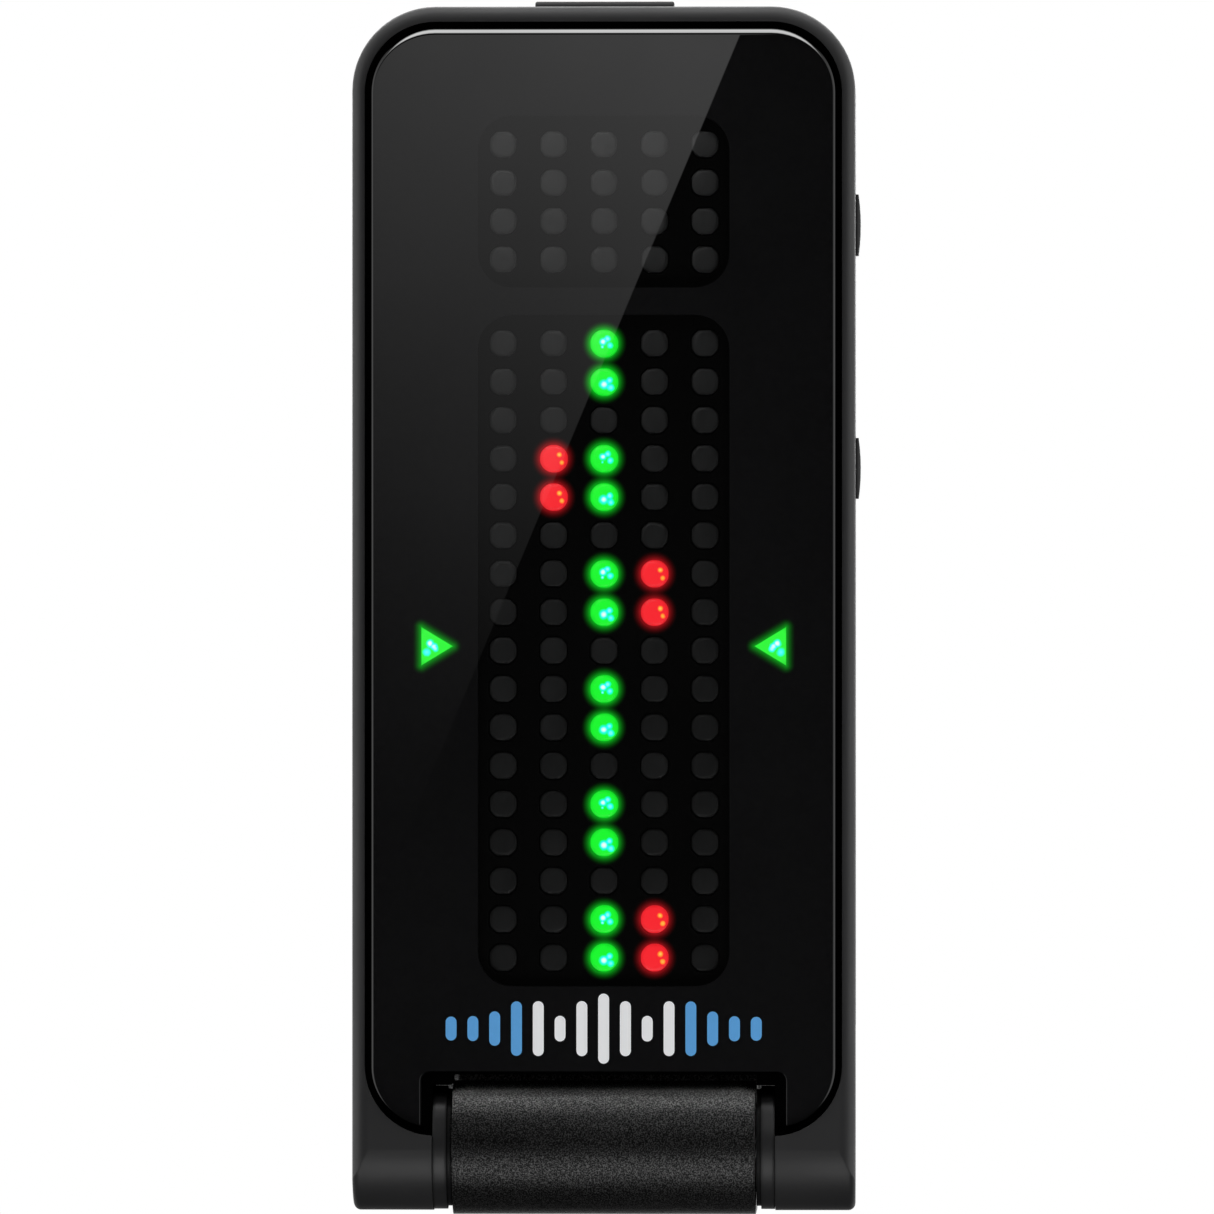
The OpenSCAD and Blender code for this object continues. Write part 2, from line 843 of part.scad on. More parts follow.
// Points along straights and bends, each [length, bend radius, bend angle], from a start point and heading
function heading_vector(a) = [sin(a), -cos(a)];
function walk(segments, i, start, a) = i == len(segments) ? [] :
    let (
        s = segments[i],
        bend_start = start + s[0] * heading_vector(a),
        side = sign(s[2]),
        centre = bend_start + side * s[1] * [cos(a), sin(a)],
        steps = max(1, ceil(abs(s[2]) / 2)),
        bend = [for (k = [0:steps]) let (b = a + s[2] * k / steps)
                [centre - side * s[1] * [cos(b), sin(b)], b]]
    )
    concat(side == 0 ? [[bend_start, a]] : bend,
           walk(segments, i + 1, side == 0 ? bend_start : bend[steps][0], a + s[2]));

// Centreline of the moving arm, from its tip down to the handle's end: points with their headings
arm_path = concat(
    [[[moving_tip_y, moving_tip_z], jaw_tilt]],
    walk([[jaw_len, jaw_bend_r, -jaw_tilt], [upright_len, flare_bend_r, handle_flare], [handle_len, 0, 0]],
         0, [moving_tip_y, moving_tip_z], jaw_tilt)
);

function offset_path(path, d) = [for (p = path) p[0] + d * [cos(p[1]), sin(p[1])]];
function reversed(v) = [for (i = [len(v) - 1:-1:0]) v[i]];

module moving_profile() {
    polygon(concat(offset_path(arm_path, arm_t / 2), reversed(offset_path(arm_path, -arm_t / 2))));
}

// The moving jaw's own frame: origin at the arm's tip, Z along the jaw and -Y towards the mouth
module jaw_place() {
    translate([0, moving_tip_y, moving_tip_z]) rotate([jaw_tilt, 0, 0]) children();
}

handle_end = arm_path[len(arm_path) - 1];

// Thumb ribs on the back of the handle
module handle_ribs() {
    translate([0, handle_end[0][0], handle_end[0][1]]) rotate([handle_flare, 0, 0])
        for (i = [0:rib_count - 1])
            translate([0, arm_t / 2, rib_start + rib_pitch * i]) x_rod(rib_r, -rib_half, rib_half);
}

// A toe on each of the moving arm's lugs, which meets the fixed arm when the jaw is closed
module stop_toe() {
    toe_y = arm_back_y + toe_gap - pivot_y;
    translate([0, pivot_y, pivot_z]) across(moving_lug[0], moving_lug[1])
        polygon([[0, 0], [toe_y, 1.8], [toe_y, 4], [-2, 4.6], [lug_end_r, lug_end_r]]);
}

module moving_arm() {
    color([0.09, 0.09, 0.09]) difference() {
        union() {
            intersection() {
                across(-arm_w / 2, arm_w / 2) moving_profile();
                slab(0, 3 * pivot_y) panel(arm_w / 2, handle_end[0][1] - 0.5, arm_h, 4, tip_r);
            }
            both_sides() {
                pivot_lug(moving_lug[0], moving_lug[1], upright_y);
                stop_toe();
            }
            handle_ribs();
        }
        translate([0, pivot_y, pivot_z]) x_rod(jaw_pin_r + gap, -arm_w, arm_w);
        jaw_place() slab(-arm_t / 2 - cut, -arm_t / 2 + plug_depth)
            plug_outline(moving_pad_low, moving_pad_high);
    }
}

module moving_pad() {
    color([0.05, 0.05, 0.05]) jaw_place() mirror([0, 1, 0])
        pad(arm_t / 2, arm_t / 2 + moving_pad_t, moving_pad_low, moving_pad_high);
}

module jaw_pin() {
    color([0.7, 0.7, 0.72]) translate([0, pivot_y, pivot_z]) {
        x_rod(jaw_pin_r, -pin_end_x, pin_end_x - 0.3);
        x_rod(pin_head_r, fixed_lug[1] + gap, pin_end_x);
    }
}

module jaw_pin_retainer() {
    color([0.65, 0.65, 0.68]) translate([0, pivot_y, pivot_z]) difference() {
        x_rod(retainer_r, -pin_end_x + 0.15, -fixed_lug[1] - gap);
        x_rod(jaw_pin_r, -arm_w, 0);
    }
}

// ---------- jaw spring: one wire swept along leg, coil and leg ----------

// How far a leg must lean to lay its outer side against a face at this distance from the pivot
function leg_lean(reach) =
    let (r = coil_r + wire_d / 2)
    asin(reach / norm([r, leg_len])) - atan2(r, leg_len);

flare_face_y = upright_y + flare_bend_r - (flare_bend_r + arm_t / 2) * cos(handle_flare);
fixed_leg_lean = leg_lean(pivot_y - arm_back_y - leg_gap);
moving_leg_lean = leg_lean(flare_face_y - pivot_y - leg_gap);
coil_sweep = 180 - fixed_leg_lean - moving_leg_lean + 360 * coil_turns;

function coil_point(t) =
    let (a = 180 - fixed_leg_lean - t * coil_sweep)
    [-coil_x + 2 * coil_x * t, pivot_y + coil_r * cos(a), pivot_z + coil_r * sin(a)];

wire_path = concat(
    [coil_point(0) - leg_len * [0, sin(fixed_leg_lean), cos(fixed_leg_lean)]],
    [for (i = [0:coil_steps]) coil_point(i / coil_steps)],
    [coil_point(1) + leg_len * [0, sin(moving_leg_lean), -cos(moving_leg_lean)]]
);

function unit(v) = v / norm(v);
function wire_ring(i) =
    let (
        last = len(wire_path) - 1,
        t = unit(wire_path[min(i + 1, last)] - wire_path[max(i - 1, 0)]),
        u = unit([1, 0, 0] - t[0] * t),
        v = cross(t, u)
    )
    [for (k = [0:wire_sides - 1]) let (a = 360 * k / wire_sides)
        wire_path[i] + wire_d / 2 * (cos(a) * u + sin(a) * v)];

module jaw_spring() {
    rings = len(wire_path);
    n = wire_sides;
    color([0.75, 0.75, 0.77]) polyhedron(
        points = [for (i = [0:rings - 1]) each wire_ring(i)],
        faces = concat(
            [[for (k = [0:n - 1]) k]],
            [for (i = [0:rings - 2], k = [0:n - 1])
                let (a = i * n + k, b = i * n + (k + 1) % n) [a, a + n, b + n, b]],
            [[for (k = [n - 1:-1:0]) (rings - 1) * n + k]]
        )
    );
}

// ---------- nodes ----------

placed() front_housing();
placed() face_glass();
placed() glass_adhesive();
placed() dot_mask();
placed() dot_diffuser();
placed() led_chips();
placed() main_board();
placed() board_chips();
placed() vibration_sensor();
placed() tact_switches();
placed() power_button();
placed() power_plunger();
placed() mode_button();
placed() mode_plunger();
placed() display_button();
placed() display_plunger();
placed() rear_cover();
placed() cover_screws();
placed() coin_cell();
placed() cell_contact_minus();
placed() cell_contact_plus();
placed() battery_door();
placed() hinge_pin();
placed() hinge_washers();
placed() hinge_pin_plug();
placed() friction_bushes();
placed() fixed_arm();
placed() fixed_pad();
placed() jaw_pin();
placed() jaw_pin_retainer();
placed() jaw_spring();
placed() moving_arm();
placed() moving_pad();
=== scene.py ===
import json
import math

import bmesh
import bpy
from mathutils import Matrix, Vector

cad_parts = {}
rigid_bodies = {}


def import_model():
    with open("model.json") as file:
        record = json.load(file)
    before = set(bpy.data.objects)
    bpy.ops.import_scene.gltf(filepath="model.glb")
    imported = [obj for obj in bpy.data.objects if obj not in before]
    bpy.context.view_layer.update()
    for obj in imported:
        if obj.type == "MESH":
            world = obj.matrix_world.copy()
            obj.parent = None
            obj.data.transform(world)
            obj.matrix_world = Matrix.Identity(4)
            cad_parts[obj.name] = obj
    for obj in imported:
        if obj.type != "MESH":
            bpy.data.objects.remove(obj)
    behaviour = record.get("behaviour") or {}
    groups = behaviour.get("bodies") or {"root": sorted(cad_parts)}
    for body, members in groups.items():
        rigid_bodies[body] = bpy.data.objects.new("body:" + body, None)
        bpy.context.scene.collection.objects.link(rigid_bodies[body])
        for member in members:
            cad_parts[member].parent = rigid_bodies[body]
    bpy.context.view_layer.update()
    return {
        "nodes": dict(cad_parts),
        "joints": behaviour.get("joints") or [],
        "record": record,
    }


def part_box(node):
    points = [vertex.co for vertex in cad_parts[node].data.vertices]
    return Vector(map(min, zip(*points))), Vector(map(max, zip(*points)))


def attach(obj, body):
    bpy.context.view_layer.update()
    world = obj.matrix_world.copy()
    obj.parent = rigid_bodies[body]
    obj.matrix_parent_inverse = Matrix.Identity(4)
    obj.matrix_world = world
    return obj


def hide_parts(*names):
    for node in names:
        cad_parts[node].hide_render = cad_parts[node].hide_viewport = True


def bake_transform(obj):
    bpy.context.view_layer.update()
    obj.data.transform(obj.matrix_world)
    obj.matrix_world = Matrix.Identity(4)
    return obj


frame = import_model()
NODES = frame["nodes"]
JOINTS = {j["name"]: j for j in frame["joints"]}

# ---------------------------------------------------------------- lengths and places

MM = 0.001
HINGE = Vector(JOINTS["display_tilt"]["pos_m"])      # the head turns about X through here
PIVOT = Vector(JOINTS["jaw_open"]["pos_m"])


def place(x, y, z):
    """A point given in millimetres from the hinge axis, in the row frame."""
    return HINGE + Vector((x, y, z)) * MM


def low(node):
    """A node's lowest corner, in millimetres from the hinge axis."""
    return (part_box(node)[0] - HINGE) / MM


def high(node):
    """A node's highest corner, in millimetres from the hinge axis."""
    return (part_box(node)[1] - HINGE) / MM


GLASS_FRONT = low("face_glass").y
GLASS_BACK = high("face_glass").y
GLASS_HALF = high("face_glass").x
GLASS_TOP = high("face_glass").z
GLASS_LOW = low("face_glass").z
MASK_BACK = high("dot_mask").y
DOT_FRONT = low("dot_diffuser").y
SHEET_BACK = high("dot_diffuser").y

# Face layout, in millimetres from the hinge axis
CORNER_R = 3.07
LOW_CORNER_R = 2.9
NOTCH_HALF, NOTCH_TOP, NOTCH_R = 8.67, 3.69, 0.4
PRINT_ROOM = 0.06                         # the room left for the print, behind the glass and round it
CHAMFER = 0.26                            # the bevel's width along the top
SIDE_BEVEL, NOTCH_BEVEL = 0.45, 0.25      # how much of it the sides and the notch have
PITCH_X, PITCH_Z = 2.41, 1.834
UPPER_Z, LOWER_Z = 47.95, 38.45
UPPER_ROWS, LOWER_ROWS, COLUMNS = 4, 17, 5
DOT_HALF, LIT_DOT_HALF = 0.645, 0.65
WINDOW_HALF, WINDOW_MARGIN, WINDOW_R = 6.0, 1.35, 1.65
ARROW_BASE, ARROW_TIP, ARROW_HALF = 8.7, 7.2, 0.91
ARROW_Z = LOWER_Z - (LOWER_ROWS - 1) / 2 * PITCH_Z + 0.21
ARROW_MIDDLE = 8.15                       # where an arrow's own middle lies, left or right of the centre
HALO_REACH, HALO_LIGHT = 0.5, 0.36
LIT_RED = {(1, 3), (1, 4), (3, 6), (3, 7), (3, 15), (3, 16)}      # column and row of each red dot

# A card of light with a slanted edge, in front of the face, that brightens the upper left of the glass
CARD_Y = -40.0
CARD_EDGE = (6.0, 54.75, 0.4177)          # a point on the slanted edge, and its lean
CARD_CLIMB = (6.0, 56.0, 0.45)            # the light grows between these heights, and this much with x
CARD_LIGHT, CARD_POWER = 1.06, 2.1
CARD_TOP = 58.0                           # the glass mirrors the card up to here
OVERHEAD_LIGHT, SIDE_LIGHT = 11.0, 0.5    # what the glass mirrors from straight above and from the sides


def dot_places(rows):
    return [(i, j) for j in range(rows) for i in range(COLUMNS)]


def is_green(i, j):
    """The middle column is lit in pairs, with a dark dot after each pair."""
    return i == COLUMNS // 2 and j % 3 != 2


def dot_at(i, j, top_z):
    """A dot's X and Z, for its column and its row below the one at top_z."""
    return ((i - (COLUMNS - 1) / 2) * PITCH_X, top_z - j * PITCH_Z)


LOWER_DOTS = dot_places(LOWER_ROWS)
GREEN_DOTS = [dot_at(i, j, LOWER_Z) for i, j in LOWER_DOTS if is_green(i, j)]
RED_DOTS = [dot_at(i, j, LOWER_Z) for i, j in LOWER_DOTS if (i, j) in LIT_RED]
DARK_DOTS = [dot_at(i, j, LOWER_Z) for i, j in LOWER_DOTS if not is_green(i, j) and (i, j) not in LIT_RED]
DARK_DOTS += [dot_at(i, j, UPPER_Z) for i, j in dot_places(UPPER_ROWS)]


# ---------------------------------------------------------------- materials

class Nodes:
    """Short calls for building a node tree. An input is a value or another node's output."""

    def __init__(self, tree, keep=False):
        self.tree = tree
        if not keep:
            tree.nodes.clear()

    def add(self, kind, settings=None, **inputs):
        n = self.tree.nodes.new(kind)
        for k, v in (settings or {}).items():
            setattr(n, k, v)
        for k, v in inputs.items():
            self.put(n, k.replace("_", " "), v)
        return n

    def put(self, n, name, v):
        socket = n.inputs[int(name)] if name.isdigit() else n.inputs[name]
        if hasattr(v, "links"):
            self.tree.links.new(v, socket)
        else:
            socket.default_value = v

    def math(self, op, a, b=0.0, clamp=False):
        n = self.add("ShaderNodeMath", {"operation": op, "use_clamp": clamp})
        self.put(n, "0", a)
        self.put(n, "1", b)
        return n.outputs[0]

    def vmath(self, op, a, b):
        n = self.add("ShaderNodeVectorMath", {"operation": op})
        self.put(n, "0", a)
        self.put(n, "1", b)
        return n

    def mix(self, fac, a, b):
        n = self.add("ShaderNodeMix", {"data_type": "RGBA"})
        self.put(n, "0", fac)
        self.put(n, "6", a)
        self.put(n, "7", b)
        return n.outputs[2]

    def plus(self, a, b):
        n = self.add("ShaderNodeAddShader")
        self.put(n, "0", a)
        self.put(n, "1", b)
        return n.outputs[0]

    def between(self, share, a, b):
        """A mix of two shaders: all a where share is zero, all b where it is one."""
        n = self.add("ShaderNodeMixShader", Fac=share)
        self.put(n, "1", a)
        self.put(n, "2", b)
        return n.outputs[0]

    def add_light(self, light):
        """Adds light to what the material already shows."""
        out = next(n for n in self.tree.nodes if n.type == "OUTPUT_MATERIAL")
        self.put(out, "Surface", self.plus(out.inputs["Surface"].links[0].from_socket, light))

    def ramp(self, v, v0, v1, to0=0.0, to1=1.0, kind="SMOOTHSTEP"):
        n = self.add("ShaderNodeMapRange", {"interpolation_type": kind}, Value=v, From_Min=v0, From_Max=v1,
                     To_Min=to0, To_Max=to1)
        return n.outputs[0]


def new_material(name):
    m = bpy.data.materials.new(name)
    m.use_nodes = True
    return m, Nodes(m.node_tree)


def rgba(c, k=1.0):
    return (c[0] * k, c[1] * k, c[2] * k, 1.0)


GAP_SHADE = 0.04        # what is left of a colour deep in a gap


def in_pocket(n, at, depths):
    """The mask of a painted shade: one on faces to the front that lie between two depths behind the hinge
    axis, and zero elsewhere.
    """
    facing = n.add("ShaderNodeSeparateXYZ", Vector=n.add("ShaderNodeTexCoord").outputs["Normal"]).outputs[1]
    depth = face_place(n, at)[1]
    behind, before = n.math("GREATER_THAN", depth, depths[0]), n.math("LESS_THAN", depth, depths[1])
    return n.math("MULTIPLY", n.math("MULTIPLY", behind, before), n.math("LESS_THAN", facing, -0.9))


def surface(name, color, rough, metal=0.0, grain=0.25, bump=0.004, vary=0.25, edge=0.08, spec=0.5,
            streak=None, hollow=None, speckle=0.0, pocket=None):
    """A moulded, painted or ground surface: two sizes of noise vary its colour, roughness and relief.
    grain is the size of the relief, bump its height and edge the radius seen on sharp edges, in
    millimetres. hollow paints shade into narrow gaps: their width, and how open they are where the black
    starts and ends. speckle is how much the tops of the relief shine and how much lighter their colour is
    painted, a partly painted glint. Faces to the front between the two depths of pocket are painted black,
    as shade."""
    m, n = new_material(name)
    at = n.add("ShaderNodeTexCoord").outputs["Object"]
    if streak:
        at = n.vmath("MULTIPLY", at, streak).outputs[0]
    fine = n.add("ShaderNodeTexNoise", Vector=at, Scale=1 / (grain * MM), Detail=3.0, Roughness=0.6)
    broad = n.add("ShaderNodeTexNoise", Vector=at, Scale=1 / (6 * MM), Detail=2.0)
    blend = n.math("MULTIPLY", n.math("ADD", fine.outputs["Fac"], broad.outputs["Fac"]), 0.5)
    shade = n.ramp(blend, 0.3, 0.7)
    base = n.mix(shade, rgba(color, 1 - vary), rgba(color, 1 + vary))
    # Painted shade: colour and shine fade towards black in narrow gaps, by how closed in they are.
    if hollow:
        air = n.add("ShaderNodeAmbientOcclusion", {"samples": 6}, Distance=hollow[0] * MM).outputs["AO"]
        air = n.ramp(air, hollow[1], hollow[2])
        base = n.mix(air, rgba(color, GAP_SHADE), base)
        spec = n.math("MULTIPLY", air, spec)
    # Painted shade: faces to the front between the two depths are painted nearly black.
    if pocket:
        inside = in_pocket(n, at, pocket)
        base = n.mix(inside, base, rgba(color, GAP_SHADE))
        spec = n.math("MULTIPLY", spec, n.math("SUBTRACT", 1.0, inside))
    edge_node = n.add("ShaderNodeBevel", {"samples": 4}, Radius=edge * MM)
    relief = n.add("ShaderNodeBump", Strength=1.0, Distance=bump * MM, Height=fine.outputs["Fac"],
                   Normal=edge_node.outputs[0])
    # Partly painted glint: the relief's tops shine more, and their colour is painted lighter too.
    if speckle:
        tops = n.ramp(fine.outputs["Fac"], 0.44, 0.64, 1 - speckle, 1 + speckle)
        spec = n.math("MULTIPLY", tops, spec)
        base = n.vmath("SCALE", base, (0, 0, 0))
        n.put(base, "Scale", tops)
        base = base.outputs[0]
    b = n.add("ShaderNodeBsdfPrincipled", Base_Color=base, Metallic=metal,
              Roughness=n.ramp(blend, 0.3, 0.7, rough * 0.88, rough * 1.12), Normal=relief.outputs[0])
    n.put(b, "Specular IOR Level", spec)
    out = n.add("ShaderNodeOutputMaterial")
    n.put(out, "Surface", b.outputs[0])
    return m


def face_place(n, at):
    """X, Y and Z of a point, in millimetres from the hinge axis."""
    shifted = n.vmath("SUBTRACT", at, HINGE).outputs[0]
    parts = n.add("ShaderNodeSeparateXYZ", Vector=n.vmath("DIVIDE", shifted, (MM, MM, MM)).outputs[0])
    return parts.outputs


def halo(n, far):
    """How a halo fades with the distance from the edge of what shines."""
    return n.math("POWER", n.ramp(far, 0.0, HALO_REACH, 1.0, 0.0, "LINEAR"), 3.0)


def length(n, a, b):
    """The length of the diagonal across a rectangle of a by b."""
    return n.math("SQRT", n.math("ADD", n.math("MULTIPLY", a, a), n.math("MULTIPLY", b, b)))


def dot_halos(n, x, z, centres):
    total = 0.0
    for cx, cz in centres:
        from_middle = length(n, n.math("SUBTRACT", x, cx), n.math("SUBTRACT", z, cz))
        total = n.math("ADD", total, halo(n, n.math("SUBTRACT", from_middle, LIT_DOT_HALF)))
    return total


def arrow_halo(n, x, z):
    """The halo round both arrows, which fades with the distance from an arrow's slanted or outer side."""
    out = n.math("SUBTRACT", n.math("ABSOLUTE", x), ARROW_TIP)
    up = n.math("ABSOLUTE", n.math("SUBTRACT", z, ARROW_Z))
    wide, tall = ARROW_BASE - ARROW_TIP, ARROW_HALF
    along = n.math("ADD", n.math("MULTIPLY", out, wide), n.math("MULTIPLY", up, tall))
    along = n.math("DIVIDE", along, wide ** 2 + tall ** 2, clamp=True)
    off_x = n.math("SUBTRACT", out, n.math("MULTIPLY", along, wide))
    off_z = n.math("SUBTRACT", up, n.math("MULTIPLY", along, tall))
    past_base = n.math("MAXIMUM", n.math("SUBTRACT", up, tall), 0.0)
    from_base = length(n, n.math("SUBTRACT", out, wide), past_base)
    return halo(n, n.math("MINIMUM", length(n, off_x, off_z), from_base))


def with_glow(material, groups):
    """Adds to a material the light thrown on it: groups of (amount from n, x and z; colour)."""
    n = Nodes(material.node_tree, keep=True)
    x, _, z = face_place(n, n.add("ShaderNodeTexCoord").outputs["Object"])
    for amount, color in groups:
        light = n.add("ShaderNodeEmission", Color=rgba(color),
                      Strength=n.math("MULTIPLY", amount(n, x, z), HALO_LIGHT))
        n.add_light(light.outputs[0])
    return material


def lit_surface(name, color, spots, spot_color, core=(1.0, 1.0, 1.0)):
    """A lit dot. UV runs from -1 to 1 across it. spots are (u, v, radius, heat) of the brighter points of
    the chip behind: a spot of heat 1 burns out to the core's colour."""
    m, n = new_material(name)
    uv = n.add("ShaderNodeUVMap").outputs[0]
    at = n.add("ShaderNodeTexCoord").outputs["Object"]
    noise = n.add("ShaderNodeTexNoise", Vector=at, Scale=1 / (0.35 * MM), Detail=3.0)
    wobble = n.math("MULTIPLY", n.math("SUBTRACT", noise.outputs["Fac"], 0.5), 0.35)
    edge = n.add("ShaderNodeVectorMath", {"operation": "LENGTH"}, **{"0": uv}).outputs["Value"]
    body = n.ramp(n.math("ADD", edge, wobble), 0.75, 1.12, 1.0, 0.45)
    glow = n.mix(body, rgba(color, 0.55), rgba(color))
    total = n.add("ShaderNodeEmission", Color=glow).outputs[0]
    for u, v, r, heat in spots:
        far = n.vmath("DISTANCE", uv, (u, v, 0)).outputs["Value"]
        far = n.math("ADD", far, n.math("MULTIPLY", wobble, 0.5))
        ring = n.ramp(far, r * 0.45, r, 1.0, 0.0)
        hot = n.ramp(far, r * 0.1, r * 0.6, heat, 0.0)
        spot = n.add("ShaderNodeEmission", Color=n.mix(hot, rgba(spot_color), rgba(core)), Strength=ring)
        total = n.plus(total, spot.outputs[0])
    gloss = n.add("ShaderNodeBsdfPrincipled", Base_Color=rgba(color, 0.1), Roughness=0.35)
    n.put(n.add("ShaderNodeOutputMaterial"), "Surface", n.plus(total, gloss.outputs[0]))
    return m


def card_light(n, x, z):
    """The glare card's light at a place on it, in millimetres from the hinge axis."""
    climb = n.math("ADD", z, n.math("MULTIPLY", x, CARD_CLIMB[2]))
    return n.math("POWER", n.ramp(climb, CARD_CLIMB[0], CARD_CLIMB[1], 0.0, CARD_LIGHT, "LINEAR"), CARD_POWER)


def card_edge_x(z):
    return CARD_EDGE[0] + CARD_EDGE[2] * (z - CARD_EDGE[1])


def room_light(n, way):
    """The light of the room from a direction: dark in front of the tuner and below, pale behind it."""
    front_to_back = n.ramp(way[1], -0.4, 0.4, 0.012, 0.85)
    return n.math("MULTIPLY", front_to_back, n.ramp(way[2], -0.7, 0.0, 0.04, 1.0))


def mirrored_card(n, way):
    """The card's light where the mirrored ray would meet it."""
    x, y, z = face_place(n, n.add("ShaderNodeNewGeometry").outputs["Position"])
    steps = n.math("DIVIDE", n.math("SUBTRACT", CARD_Y, y), way[1])
    hit_x = n.math("ADD", x, n.math("MULTIPLY", way[0], steps))
    hit_z = n.math("ADD", z, n.math("MULTIPLY", way[2], steps))
    edge_x = n.math("ADD", n.math("MULTIPLY", hit_z, CARD_EDGE[2]), card_edge_x(0))
    inside = n.ramp(n.math("SUBTRACT", edge_x, hit_x), -0.04, 0.04)
    inside = n.math("MULTIPLY", inside, n.ramp(hit_z, CARD_TOP, CARD_TOP + 4, 1.0, 0.0))
    forward = n.math("LESS_THAN", way[1], 0.0)
    return n.math("MULTIPLY", card_light(n, hit_x, hit_z), n.math("MULTIPLY", inside, forward))


def mirrored_studio(n):
    """What the glass mirrors: the card, the lights above and at the sides, and the room. It is worked out
    from the direction of the mirrored ray, which leaves no noise."""
    way = n.add("ShaderNodeSeparateXYZ", Vector=n.add("ShaderNodeTexCoord").outputs["Reflection"]).outputs
    above = n.ramp(way[2], 0.55, 0.95, 0.0, OVERHEAD_LIGHT)
    sides = n.ramp(n.math("ABSOLUTE", way[0]), 0.6, 0.74, 0.0, SIDE_LIGHT)
    front = n.math("ADD", above, n.math("ADD", mirrored_card(n, way), room_light(n, way)))
    return n.math("ADD", sides, n.math("MULTIPLY", front, n.ramp(way[1], 0.05, 0.3, 1.0, 0.0)))


def smoked_glass(name, tint):
    """Clear smoked glass that light passes without bending, so that what is behind it stays sharp. What it
    mirrors is a painted reflection, given off as its own light. Faint smears vary how much it mirrors."""
    m, n = new_material(name)
    back = n.add("ShaderNodeNewGeometry").outputs["Backfacing"]
    at = n.add("ShaderNodeTexCoord").outputs["Object"]
    noise = n.add("ShaderNodeTexNoise", Vector=at, Scale=1 / (9 * MM), Detail=2.0)
    smear = n.ramp(noise.outputs["Fac"], 0.35, 0.7, 0.97, 1.03)
    share = n.math("MULTIPLY", n.add("ShaderNodeFresnel", IOR=1.5).outputs[0], n.math("SUBTRACT", 1.0, back))
    share = n.math("MULTIPLY", share, smear)
    through = n.mix(back, rgba(tint), (1, 1, 1, 1))
    clear = n.add("ShaderNodeBsdfTransparent", Color=n.mix(share, through, (0, 0, 0, 1)))
    # Painted reflection: what the glass would mirror is given off as its own light.
    glare = n.add("ShaderNodeEmission", Strength=n.math("MULTIPLY", share, mirrored_studio(n)))
    n.put(n.add("ShaderNodeOutputMaterial"), "Surface", n.plus(clear.outputs[0], glare.outputs[0]))
    return m


INK_LIGHT = 0.45


def ink_with_painted_glow(name, color):
    """Ink on the back of the glass, made a little brighter than plain print by a painted glow of its own."""
    m = surface(name, color, 0.5, grain=0.3, bump=0.0, vary=0.04, edge=0.01, spec=0.0)
    n = Nodes(m.node_tree, keep=True)
    # Painted glow: the ink gives off a little light of its own.
    n.add_light(n.add("ShaderNodeEmission", Color=rgba(color), Strength=INK_LIGHT).outputs[0])
    return m


SHELL_BLACK = (0.03, 0.03, 0.031)
SMOOTH_BLACK = (0.026, 0.026, 0.027)
